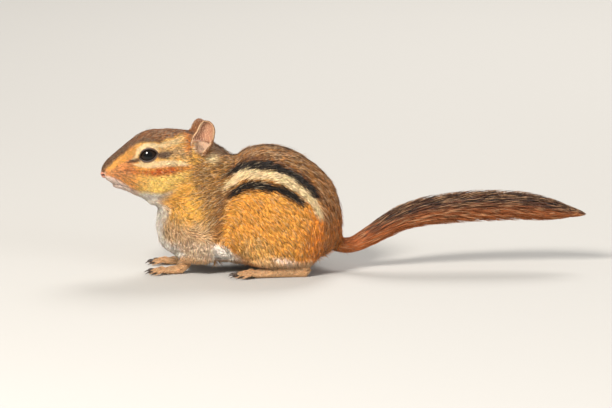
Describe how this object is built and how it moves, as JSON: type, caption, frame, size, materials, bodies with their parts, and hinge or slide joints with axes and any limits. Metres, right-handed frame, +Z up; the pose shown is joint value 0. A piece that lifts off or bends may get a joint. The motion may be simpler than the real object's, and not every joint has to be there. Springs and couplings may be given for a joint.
{
  "type": "chipmunk",
  "caption": "Life-size still model of a crouching striped chipmunk, its head held low and forward and its brush of a tail laid out behind.",
  "frame": {"origin": "on the floor, under the middle of the box that holds the whole animal", "axes": "+X towards the tip of the tail, so the nose points along -X; the animal's left side is at -Y; +Z up"},
  "size_m": [0.201, 0.0546, 0.065],
  "materials": {
    "coat": "short dense fur, grizzled brown above with dark and cream stripes, rusty on the flanks, white below",
    "tail_coat": "long coarse fur, reddish brown banded with black and tipped with buff",
    "foot_coat": "very short tan fur over bare pinkish soles",
    "ear_skin": "thin skin with a pale velvet nap",
    "nose_skin": "bare finely grained skin",
    "eye": "wet glossy black",
    "claw": "dark horn"
  },
  "bodies": {
    "root": {"head": "coat", "lower_jaw": "coat", "nose": "nose_skin", "eye_left": "eye", "eye_right": "eye", "ear_left": "ear_skin", "ear_right": "ear_skin", "neck": "coat", "chest": "coat", "torso": "coat", "rump": "coat", "foreleg_left": "coat", "foreleg_right": "coat", "forefoot_left": "foot_coat", "forefoot_right": "foot_coat", "thigh_left": "coat", "thigh_right": "coat", "hindfoot_left": "foot_coat", "hindfoot_right": "foot_coat", "tail": "tail_coat"}
  },
  "joints": []
}
